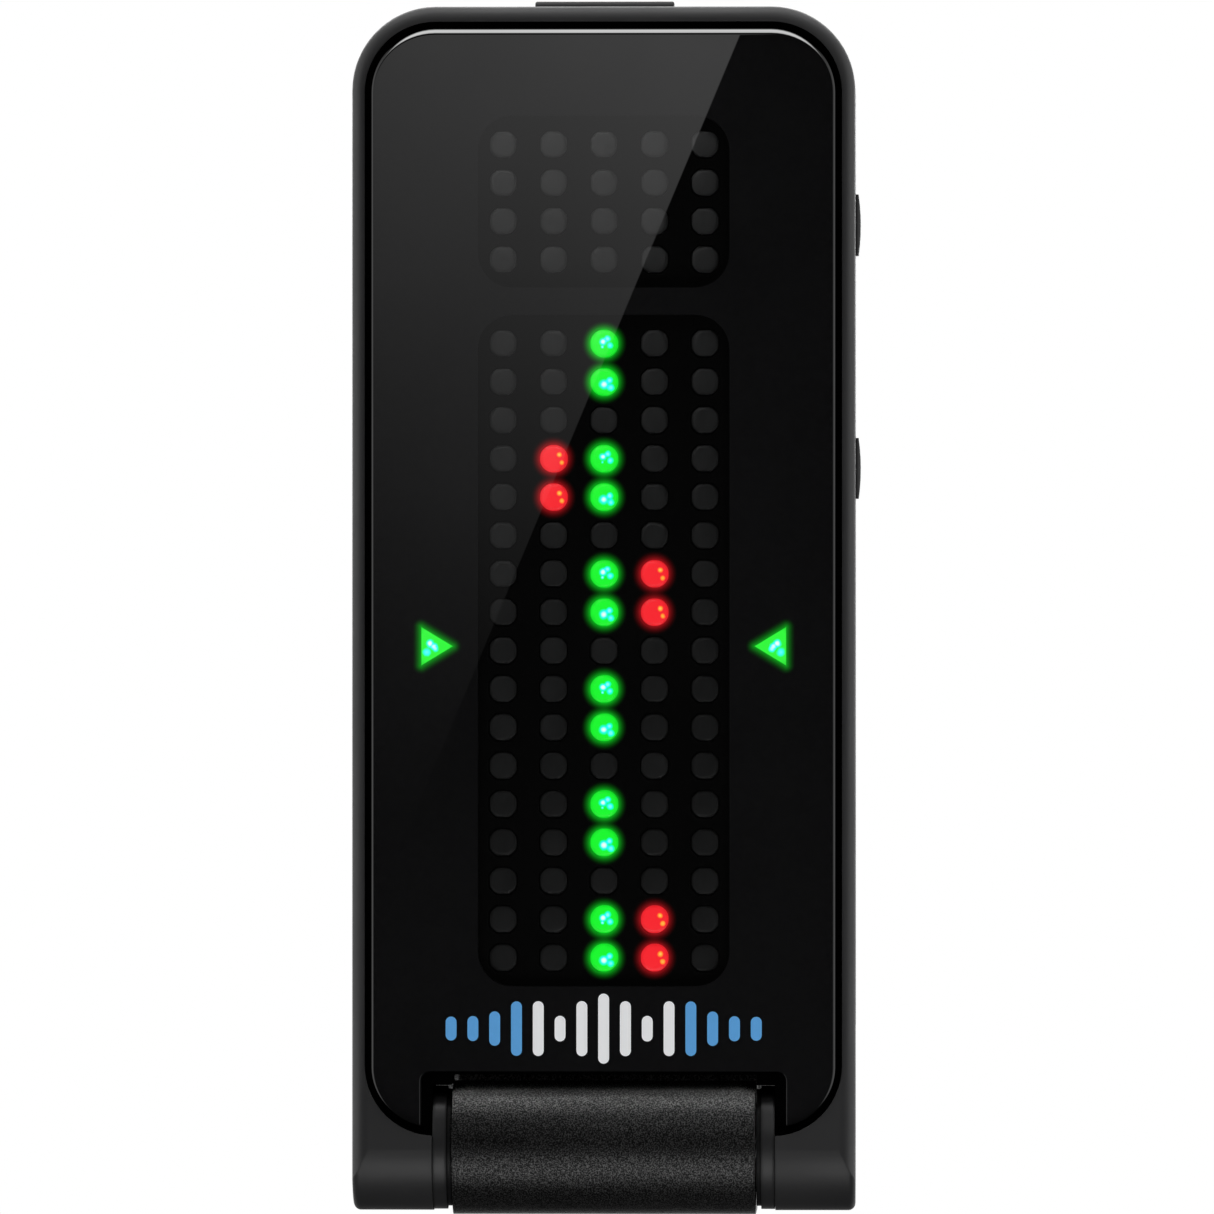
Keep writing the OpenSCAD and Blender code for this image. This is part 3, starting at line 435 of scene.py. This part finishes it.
# Several of these materials have shade painted into narrow gaps. The shell's front faces at the depth of the
# recess behind its notch are painted black as shade, and the clip's texture has a partly painted glint.
MATERIALS = {
    "shell_black": surface("shell_soft_black", SHELL_BLACK, 0.5, grain=0.12, bump=0.0015, vary=0.06,
                           edge=0.12, hollow=(1.3, 0.45, 0.95), pocket=(-2.5, -1.5)),
    "button_black": surface("button_soft_black", SMOOTH_BLACK, 0.45, grain=0.12, bump=0.0015, vary=0.06,
                            edge=0.06, spec=0.3, hollow=(0.3, 0.2, 0.8)),
    "washer_black": surface("washer_smooth_black", SMOOTH_BLACK, 0.42, grain=0.5, bump=0.0006, vary=0.08,
                            edge=0.25, hollow=(0.5, 0.2, 0.8)),
    "clip_black": surface("clip_spark_texture", (0.021, 0.021, 0.021), 0.32, grain=0.065, bump=0.018,
                          vary=0.3, edge=0.2, hollow=(0.9, 0.5, 0.72), speckle=0.75),
    "pad_rubber": surface("pad_rubber", (0.018, 0.018, 0.018), 0.75, grain=0.2, bump=0.006, vary=0.15,
                          edge=0.12),
    "adhesive": surface("adhesive_black", (0.012, 0.012, 0.012), 0.7, edge=0.02),
    "mask_black": surface("mask_black", (0.0022, 0.0022, 0.0022), 0.6, grain=0.3, bump=0.002, edge=0.03,
                          spec=0.03),
    "led_body": surface("led_resin", (0.75, 0.72, 0.55), 0.25, grain=0.2, bump=0.001, edge=0.05),
    "board_green": surface("board_solder_mask", (0.01, 0.09, 0.045), 0.3, grain=0.6, vary=0.3, edge=0.03),
    "chip_black": surface("chip_moulding", (0.02, 0.02, 0.02), 0.5, grain=0.1, bump=0.002, edge=0.05),
    "sensor_brass": surface("sensor_brass", (0.72, 0.52, 0.22), 0.32, metal=1.0, grain=0.3, bump=0.001,
                            edge=0.03),
    "switch_metal": surface("switch_metal", (0.62, 0.62, 0.64), 0.3, metal=1.0, grain=0.3, bump=0.001,
                            edge=0.06),
    "plunger_black": surface("plunger_black", (0.02, 0.02, 0.02), 0.45, edge=0.06),
    "screw_black": surface("screw_black_zinc", (0.1, 0.1, 0.11), 0.34, metal=1.0, grain=0.1, bump=0.001,
                           edge=0.06),
    "cell_steel": surface("cell_nickel", (0.66, 0.66, 0.68), 0.28, metal=1.0, grain=0.3, bump=0.001,
                          edge=0.15, streak=(1, 1, 12)),
    "contact_metal": surface("contact_plated", (0.78, 0.62, 0.34), 0.3, metal=1.0, grain=0.2, bump=0.001,
                             edge=0.03),
    "pin_steel": surface("pin_ground_steel", (0.55, 0.55, 0.57), 0.3, metal=1.0, grain=0.2, bump=0.0003,
                         vary=0.06),
    "bush_natural": surface("bush_acetal", (0.7, 0.68, 0.6), 0.4, grain=0.4, bump=0.002),
    "spring_steel": surface("spring_drawn_steel", (0.42, 0.42, 0.44), 0.3, metal=1.0, grain=0.15,
                            bump=0.001, edge=0.03),
    "diffuser": surface("dot_smoke", (0.018, 0.0185, 0.0185), 0.42, grain=0.5, bump=0.003, vary=0.16,
                        edge=0.01, spec=0.22, streak=(3, 1, 1)),
}
GREEN, RED, ARROW_GREEN = (0.01, 1.0, 0.03), (1.0, 0.02, 0.03), (0.035, 1.0, 0.05)
GREEN_HALO = (0.014, 1.4, 0.042)
CYAN, ORANGE, AMBER = (0.0, 0.6, 1.0), (1.0, 0.35, 0.0), (1.0, 0.6, 0.1)
GREEN_SPOTS_HIGH = [(-0.08, 0.12, 0.36, 1.0), (0.26, 0.34, 0.3, 0.3), (0.44, -0.16, 0.3, 0.2),
                    (-0.12, -0.26, 0.14, 0.4)]
GREEN_SPOTS_LOW = [(-0.02, -0.18, 0.44, 1.0), (0.4, 0.1, 0.3, 0.3), (0.5, -0.42, 0.32, 0.2)]
RED_SPOTS = [(0.42, 0.28, 0.24, 1.0), (0.6, -0.3, 0.22, 0.5)]
ARROW_SPOTS = [(-0.14, 0.14, 0.26, 1.0), (0.04, 0.0, 0.24, 0.8), (0.12, -0.12, 0.2, 0.5),
               (-0.32, -0.3, 0.26, 0.1)]
LIT_GREEN_HIGH = lit_surface("dot_lit_green_high", GREEN, GREEN_SPOTS_HIGH, CYAN)
LIT_GREEN_LOW = lit_surface("dot_lit_green_low", GREEN, GREEN_SPOTS_LOW, CYAN)
LIT_RED_DOT = lit_surface("dot_lit_red", RED, RED_SPOTS, ORANGE, AMBER)
LIT_ARROW = lit_surface("arrow_lit_green", ARROW_GREEN, ARROW_SPOTS, CYAN)
DOT_GLOW = [(lambda n, x, z: dot_halos(n, x, z, GREEN_DOTS), GREEN_HALO),
            (lambda n, x, z: dot_halos(n, x, z, RED_DOTS), RED)]
ARROW_GLOW = [(arrow_halo, GREEN)]
with_glow(MATERIALS["mask_black"], DOT_GLOW)
SHEET = with_glow(surface("diffuser_sheet_smoke", (0.012, 0.012, 0.012), 0.5, spec=0.1), DOT_GLOW)
GLASS = smoked_glass("face_smoked_glass", (0.93, 0.93, 0.93))
INK_BLACK = with_glow(surface("face_ink_black", (0.011, 0.011, 0.0116), 0.4, grain=0.3, bump=0.0, vary=0.12,
                              edge=0.01, spec=0.0), ARROW_GLOW)
INK_WHITE = ink_with_painted_glow("face_ink_white", (0.9, 0.91, 0.92))
INK_BLUE = ink_with_painted_glow("face_ink_blue", (0.12, 0.38, 0.75))


# ---------------------------------------------------------------- making pieces

def finish_piece(obj, body, material, replaces=(), smooth=35):
    """Paints a new mesh, sets which edges look sharp, and hangs it on its body."""
    obj.data.materials.clear()
    obj.data.materials.append(material)
    bm = bmesh.new()
    bm.from_mesh(obj.data)
    bmesh.ops.remove_doubles(bm, verts=bm.verts, dist=1e-7)
    bmesh.ops.recalc_face_normals(bm, faces=bm.faces)
    bm.to_mesh(obj.data)
    bm.free()
    obj.data.shade_smooth()
    obj.data.set_sharp_from_angle(angle=math.radians(smooth))
    if body:
        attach(obj, body)
    if replaces:
        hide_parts(*replaces)
    return obj


def mesh_object(name, verts, faces):
    me = bpy.data.meshes.new(name)
    me.from_pydata([tuple(v) for v in verts], [], faces)
    obj = bpy.data.objects.new(name, me)
    bpy.context.scene.collection.objects.link(obj)
    return obj


def arc(cx, cz, r, a0, a1, steps, rx=None):
    """Points on an arc, with angles in degrees. rx is its radius along x, where that differs."""
    return [(cx + (rx or r) * math.cos(math.radians(a0 + (a1 - a0) * k / steps)),
             cz + r * math.sin(math.radians(a0 + (a1 - a0) * k / steps))) for k in range(steps + 1)]


def glass_outline(inset):
    """The glass's outline, moved in by inset at the top and by less elsewhere: the left half from the top,
    then its mirror image."""
    left = arc(-(GLASS_HALF - CORNER_R), GLASS_TOP - CORNER_R, CORNER_R - inset, 90, 180, 16,
               CORNER_R - inset * SIDE_BEVEL)
    r = LOW_CORNER_R - inset * SIDE_BEVEL
    cx, cz = -(GLASS_HALF - LOW_CORNER_R), GLASS_LOW + LOW_CORNER_R
    grow = inset * NOTCH_BEVEL
    end = 180 + math.degrees(math.acos((NOTCH_HALF + grow + cx) / r))
    left += arc(cx, cz, r, 180, end, 16)
    left += arc(-(NOTCH_HALF - NOTCH_R), NOTCH_TOP - NOTCH_R, NOTCH_R + grow, 180, 90, 6)
    return left + [(-x, z) for x, z in reversed(left)]


def stack(name, rings):
    """A closed solid from matching rings of points, with flat ends."""
    n = len(rings[0])
    verts = [p for ring in rings for p in ring]
    faces = [(a + i, a + (i + 1) % n, a + n + (i + 1) % n, a + n + i)
             for a in range(0, n * (len(rings) - 1), n) for i in range(n)]
    faces.append(tuple(reversed(range(n))))
    faces.append(tuple(range(n * (len(rings) - 1), n * len(rings))))
    return mesh_object(name, verts, faces)


def ring_at(outline, y):
    return [place(x, y, z) for x, z in outline]


def flat_print(name, loops, y0, y1):
    """A flat layer from outlines; an outline inside another cuts a hole. It lies from depth y0 to y1."""
    curve = bpy.data.curves.new(name, "CURVE")
    curve.dimensions, curve.fill_mode = "2D", "BOTH"
    curve.extrude = (y1 - y0) / 2 * MM
    for loop in loops:
        s = curve.splines.new("POLY")
        s.points.add(len(loop) - 1)
        for point, (x, z) in zip(s.points, loop):
            point.co = (x * MM, z * MM, 0, 1)
        s.use_cyclic_u = True
    temp = bpy.data.objects.new(name + "_curve", curve)
    bpy.context.scene.collection.objects.link(temp)
    temp.rotation_euler = (math.radians(90), 0, 0)
    temp.location = place(0, (y0 + y1) / 2, 0)
    bpy.context.view_layer.update()
    me = bpy.data.meshes.new_from_object(temp.evaluated_get(bpy.context.evaluated_depsgraph_get()))
    me.transform(temp.matrix_world)
    me.name = name
    bpy.data.objects.remove(temp)
    obj = bpy.data.objects.new(name, me)
    bpy.context.scene.collection.objects.link(obj)
    return obj


def rounded_panel(cx, half, z0, z1, r, steps=8):
    return (arc(cx + half - r, z1 - r, r, 0, 90, steps) + arc(cx - half + r, z1 - r, r, 90, 180, steps)
            + arc(cx - half + r, z0 + r, r, 180, 270, steps) + arc(cx + half - r, z0 + r, r, 270, 360, steps))


# ---------------------------------------------------------------- face: glass, print, dots

# The glass's edge from back to front: how far in it lies, and how far behind the face. The bevel is rounded
# off where it meets the face, and a narrow flat ring keeps the face's shading flat.
GLASS_STEPS = [(0.0, GLASS_BACK - GLASS_FRONT - PRINT_ROOM), (0.0, CHAMFER + 0.03), (0.02, CHAMFER - 0.01),
               (CHAMFER - 0.03, 0.03), (CHAMFER - 0.006, 0.016), (CHAMFER + 0.03, 0.0065),
               (CHAMFER + 0.08, 0.0), (CHAMFER + 0.1, 0.0)]
glass = stack("face_glass_visual",
              [ring_at(glass_outline(inset), GLASS_FRONT + depth) for inset, depth in GLASS_STEPS])
finish_piece(glass, "head", GLASS, ["face_glass"], smooth=20)


def arrow_outline(side):
    return [(side * ARROW_BASE, ARROW_Z - ARROW_HALF), (side * ARROW_BASE, ARROW_Z + ARROW_HALF),
            (side * ARROW_TIP, ARROW_Z)]


def window(top_z, rows):
    """The clear window over a block of dots."""
    return rounded_panel(0, WINDOW_HALF, top_z - (rows - 1) * PITCH_Z - WINDOW_MARGIN, top_z + WINDOW_MARGIN,
                         WINDOW_R)


INK_FRONT, INK_BACK = GLASS_BACK - 0.035, GLASS_BACK - 0.01
openings = [window(UPPER_Z, UPPER_ROWS), window(LOWER_Z, LOWER_ROWS), arrow_outline(-1), arrow_outline(1)]
border = flat_print("face_print_border", [glass_outline(PRINT_ROOM)] + openings, INK_FRONT, INK_BACK)
finish_piece(border, "head", INK_BLACK)

# A row of rounded bars that rise and fall like a sound wave, blue outside and white in the middle
BARS = 15
BAR_PITCH, BAR_HALF_W, MARK_Z = 1.04, 0.26, 5.75
BAR_SHORTEST, BAR_SWELL = 0.42, 1.25      # half heights, in millimetres
WHITE_BARS = 3                            # on either side of the middle one


def bar_half_height(k):
    t = (k - (BARS - 1) / 2) / (BARS / 2)
    return BAR_SHORTEST + BAR_SWELL * (1 - t * t) * abs(math.cos(2 * math.pi * t)) ** 0.8


def bar(k):
    return rounded_panel((k - (BARS - 1) / 2) * BAR_PITCH, BAR_HALF_W, MARK_Z - bar_half_height(k),
                         MARK_Z + bar_half_height(k), BAR_HALF_W - 0.001, 6)


def print_bars(name, bars, ink):
    mark = flat_print(name, [bar(k) for k in bars], INK_FRONT - 0.02, INK_FRONT - 0.005)
    finish_piece(mark, "head", ink)


white_bars = range(BARS // 2 - WHITE_BARS, BARS // 2 + WHITE_BARS + 1)
print_bars("face_print_mark_blue", [k for k in range(BARS) if k not in white_bars], INK_BLUE)
print_bars("face_print_mark_white", white_bars, INK_WHITE)

# A dot from back to front: the size of each ring and its depth
DOT_RINGS = [(1.0, MASK_BACK), (1.0, DOT_FRONT + 0.02), (0.995, DOT_FRONT + 0.007), (0.98, DOT_FRONT),
             (0.7, DOT_FRONT - 0.008), (0.35, DOT_FRONT - 0.012)]
DOT_SIDES = 40


def turns(count):
    """Evenly spaced angles round a circle."""
    return [2 * math.pi * k / count for k in range(count)]


def dot_outline(k, r):
    """A circle of radius r with four sides flattened at 1, at scale k of the full dot."""
    return [(k * max(-1, min(1, r * math.cos(a))), k * max(-1, min(1, r * math.sin(a))))
            for a in turns(DOT_SIDES)]


def dots(name, centres, half, material, replaces=(), r=1.02):
    """Low domes standing on the diffuser's sheet, with UV from -1 to 1 across each one."""
    verts, faces, uvs = [], [], []
    for x, z in centres:
        start = len(verts)
        for k, y in DOT_RINGS:
            for u, v in dot_outline(k, r):
                verts.append(place(x + half * u, y, z + half * v))
                uvs.append((u, v))
        top = len(verts)
        verts.append(place(x, DOT_RINGS[-1][1] - 0.002, z))
        uvs.append((0, 0))
        n = DOT_SIDES
        for ring in range(len(DOT_RINGS) - 1):
            a = start + ring * n
            faces += [(a + i, a + (i + 1) % n, a + n + (i + 1) % n, a + n + i) for i in range(n)]
        last = start + (len(DOT_RINGS) - 1) * n
        faces += [(last + i, last + (i + 1) % n, top) for i in range(n)]
        faces.append(tuple(reversed(range(start, start + n))))
    obj = mesh_object(name, verts, faces)
    layer = obj.data.uv_layers.new(name="UVMap")
    for loop in obj.data.loops:
        layer.data[loop.index].uv = uvs[loop.vertex_index]
    return finish_piece(obj, "head", material, replaces, smooth=50)


dots("dots_dark", DARK_DOTS, DOT_HALF, MATERIALS["diffuser"], replaces=["dot_diffuser"], r=1.06)
dots("dots_green_high", GREEN_DOTS[::2], LIT_DOT_HALF, LIT_GREEN_HIGH)
dots("dots_green_low", GREEN_DOTS[1::2], LIT_DOT_HALF, LIT_GREEN_LOW)
dots("dots_red", RED_DOTS, LIT_DOT_HALF, LIT_RED_DOT)

sheet_outline = rounded_panel(0, high("dot_diffuser").x, low("dot_diffuser").z, high("dot_diffuser").z,
                              0.3, 4)
sheet = stack("diffuser_sheet", [ring_at(sheet_outline, y) for y in (SHEET_BACK, MASK_BACK + 0.01)])
finish_piece(sheet, "head", SHEET)

# An arrow from back to front: the size of each ring and its depth
ARROW_RINGS = [(1.0, MASK_BACK), (1.0, INK_BACK + 0.05), (0.9, INK_BACK + 0.03), (0.3, INK_BACK + 0.02)]
ARROW_UV_HALF = 0.95                      # how far UV 1 lies from the arrow's middle


def arrow(name, side):
    """One lit pointer, with UV from -1 to 1 across it and its U towards the arrow's tip."""
    centre = Vector((side * ARROW_MIDDLE, 0, ARROW_Z))
    rings = [[place(centre.x + k * (x - centre.x), y, centre.z + k * (z - centre.z))
              for x, z in arrow_outline(side)] for k, y in ARROW_RINGS]
    obj = stack(name, rings)
    layer = obj.data.uv_layers.new(name="UVMap")
    for loop in obj.data.loops:
        p = (obj.data.vertices[loop.vertex_index].co - HINGE) / MM - centre
        layer.data[loop.index].uv = (-side * p.x / ARROW_UV_HALF, p.z / ARROW_UV_HALF)
    finish_piece(obj, "head", LIT_ARROW)


arrow("arrow_left", -1)
arrow("arrow_right", 1)


# ---------------------------------------------------------------- jaw spring, built in its rest shape only; the real one twists as the jaw opens

SPRING = (low("jaw_spring"), high("jaw_spring"))
WIRE_R, WIRE_SIDES = 0.45, 16
COIL_R, COIL_TURNS, LEG = 2.3, 5, 9.5
COIL_STEPS, LEG_STEPS = 40, 8             # per turn, and per leg
COIL_X = SPRING[1].x - WIRE_R


def leg_lean(reach):
    """How far a leg leans, in degrees, when its outer side lies this far from the pivot."""
    r = COIL_R + WIRE_R
    return math.degrees(math.asin(reach / math.hypot(r, LEG)) - math.atan2(r, LEG))


def spring_path():
    """The wire's middle line, from the foot of one leg through the coils to the foot of the other."""
    pivot = (PIVOT - HINGE) / MM
    fixed_lean, moving_lean = leg_lean(pivot.y - SPRING[0].y), leg_lean(SPRING[1].y - pivot.y)
    sweep = 180 - fixed_lean - moving_lean + 360 * COIL_TURNS
    steps = COIL_STEPS * COIL_TURNS

    def coil(t):
        a = math.radians(180 - fixed_lean - t * sweep)
        return Vector((COIL_X * (2 * t - 1), pivot.y + COIL_R * math.cos(a), pivot.z + COIL_R * math.sin(a)))

    def leg(foot, lean, side):
        reach = Vector((0, side * math.sin(math.radians(lean)), -math.cos(math.radians(lean)))) * LEG
        return [foot + reach * k / LEG_STEPS for k in range(1, LEG_STEPS + 1)]

    middle = [coil(i / steps) for i in range(steps + 1)]
    return list(reversed(leg(middle[0], fixed_lean, -1))) + middle + leg(middle[-1], moving_lean, 1)


def spring_ring(path, i, r):
    """The wire's round section at a point of its path."""
    t = (path[min(i + 1, len(path) - 1)] - path[max(i - 1, 0)]).normalized()
    u = (Vector((1, 0, 0)) - t * t.x).normalized()
    v = t.cross(u)
    return [place(*(path[i] + r * (math.cos(a) * u + math.sin(a) * v))) for a in turns(WIRE_SIDES)]


path = spring_path()
rings = [spring_ring(path, i, WIRE_R) for i in range(len(path))]
spring = stack("jaw_spring_visual", rings)
finish_piece(spring, None, MATERIALS["spring_steel"], ["jaw_spring"], smooth=50)
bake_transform(spring)


# ---------------------------------------------------------------- paint the CAD nodes

SLOTS = {s["node"]: s["material_slot"] for s in frame["record"]["subparts"]}
for name, node in NODES.items():
    if SLOTS[name] in MATERIALS:
        node.data.materials.clear()
        node.data.materials.append(MATERIALS[SLOTS[name]])


# ---------------------------------------------------------------- studio

def area_light(name, at, target, width, height, radiance):
    """A soft rectangular light with the given radiance, placed and aimed in millimetres from the hinge
    axis."""
    data = bpy.data.lights.new(name, "AREA")
    data.shape, data.size, data.size_y = "RECTANGLE", width * MM, height * MM
    data.energy = radiance * math.pi * data.size * data.size_y
    light = bpy.data.objects.new(name, data)
    bpy.context.scene.collection.objects.link(light)
    light.location = place(*at)
    light.rotation_mode = "QUATERNION"
    light.rotation_quaternion = (place(*target) - light.location).to_track_quat("-Z", "Y")
    return light


MIDDLE = (0, 0, 26)
area_light("top_softbox", (0, 10, 340), MIDDLE, 420, 190, 2.0)
area_light("left_softbox", (-340, -30, 70), MIDDLE, 180, 300, 1.15)
area_light("right_softbox", (340, -30, 70), MIDDLE, 180, 300, 1.15)
area_light("back_softbox", (0, 330, 160), MIDDLE, 360, 260, 3.0)
area_light("low_fill", (0, -200, -150), MIDDLE, 260, 150, 1.95)
area_light("front_fill", (0, -260, 300), MIDDLE, 300, 120, 1.5)


def hide_from(obj, *rays):
    """Keeps an object of the studio out of some kinds of ray."""
    for ray in rays:
        setattr(obj, "visible_" + ray, False)


def object_group(name, *objects):
    group = bpy.data.collections.new(name)
    for obj in objects:
        group.objects.link(obj)
    return group


# An overhead light for the barrel alone, which the head doesn't shade
barrel_light = area_light("barrel_light", (0, 60, 320), (0, 0, 0), 420, 190, 3.2)
barrel_light.light_linking.receiver_collection = object_group("barrel_light_sees", NODES["fixed_arm"])
barrel_light.light_linking.blocker_collection = object_group("barrel_light_blockers", NODES["fixed_arm"])
barrel_light.data.cycles.use_multiple_importance_sampling = False

def card_material():
    m, n = new_material("glare_card_light")
    x, _, z = face_place(n, n.add("ShaderNodeTexCoord").outputs["Object"])
    shine = n.add("ShaderNodeEmission", Strength=n.math("MULTIPLY", card_light(n, x, z), CARD_ON_DOTS))
    n.put(n.add("ShaderNodeOutputMaterial"), "Surface", shine.outputs[0])
    return m


# The card lights the dots from the front; the glass works out its own mirror image of it
CARD_LEFT, CARD_UPPER = -60, 90
CARD_ON_DOTS = 2.2                        # how much brighter the card is for the dots than in the glass
card_corners = [(CARD_LEFT, CARD_UPPER), (card_edge_x(CARD_UPPER), CARD_UPPER), (card_edge_x(0), 0),
                (CARD_LEFT, 0)]
card = mesh_object("glare_card", [place(x, CARD_Y, z) for x, z in card_corners], [(0, 1, 2, 3)])
card.data.materials.append(card_material())
hide_from(card, "camera", "diffuse", "shadow", "transmission", "volume_scatter")
lit_pieces = [obj for obj in bpy.data.objects if obj.name.startswith(("dots_", "arrow_"))]
card.light_linking.receiver_collection = object_group("card_sees", *lit_pieces)


def floor_material():
    """A pale floor that turns into a plain white background away from the tuner."""
    m, n = new_material("floor_pale")
    at = n.add("ShaderNodeTexCoord").outputs["Object"]
    flat = n.vmath("MULTIPLY", at, (1, 1, 0)).outputs[0]
    far = n.vmath("DISTANCE", flat, (HINGE.x, HINGE.y, 0)).outputs["Value"]
    grain = n.add("ShaderNodeTexNoise", Vector=at, Scale=400.0, Detail=4.0)
    pale = n.mix(grain.outputs["Fac"], (0.76, 0.76, 0.76, 1), (0.82, 0.82, 0.82, 1))
    near = n.add("ShaderNodeBsdfPrincipled", Base_Color=pale, Roughness=0.6)
    away = n.add("ShaderNodeEmission", Color=(1, 1, 1, 1), Strength=1.0)
    n.put(n.add("ShaderNodeOutputMaterial"), "Surface",
          n.between(n.ramp(far, 0.06, 0.2, 0.8, 1.0), near.outputs[0], away.outputs[0]))
    return m


FLOOR_Z = -high("power_button").z - 1      # under the head when it hangs down
FLOOR_R = 620
floor_edge = [place(FLOOR_R * math.cos(a), FLOOR_R * math.sin(a), FLOOR_Z) for a in turns(96)]
floor = mesh_object("floor", floor_edge, [tuple(range(len(floor_edge)))])
floor.data.materials.append(floor_material())
hide_from(floor, "diffuse", "glossy", "shadow")


def studio_world():
    """The room's soft light, behind a plain white backdrop for the camera."""
    world = bpy.data.worlds.new("studio")
    world.use_nodes = True
    n = Nodes(world.node_tree)
    way = n.add("ShaderNodeSeparateXYZ", Vector=n.add("ShaderNodeTexCoord").outputs["Generated"])
    lit = n.add("ShaderNodeBackground", Color=(1, 1, 1, 1), Strength=room_light(n, way.outputs))
    seen = n.add("ShaderNodeBackground", Color=(1, 1, 1, 1), Strength=1.0)
    to_camera = n.add("ShaderNodeLightPath").outputs["Is Camera Ray"]
    n.put(n.add("ShaderNodeOutputWorld"), "Surface", n.between(to_camera, lit.outputs[0], seen.outputs[0]))
    return world


bpy.context.scene.world = studio_world()

# ---------------------------------------------------------------- camera

DISTANCE = 600.0
SPAN = 58.02            # what the picture's width covers at the face, in millimetres
TURN = math.radians(1.4)
cam_data = bpy.data.cameras.new("camera")
cam_data.sensor_width = 36.0
cam_data.lens = cam_data.sensor_width * DISTANCE / SPAN
cam_data.clip_start, cam_data.clip_end = 0.01, 10.0
camera = bpy.data.objects.new("camera", cam_data)
bpy.context.scene.collection.objects.link(camera)
target = place(0.13, -1.0, 25.86)
camera.location = target + Vector((math.sin(TURN), -math.cos(TURN), 0)) * DISTANCE * MM
camera.rotation_mode = "QUATERNION"
camera.rotation_quaternion = (target - camera.location).to_track_quat("-Z", "Y")
bpy.context.scene.camera = camera
bpy.context.scene.view_settings.view_transform = "Standard"
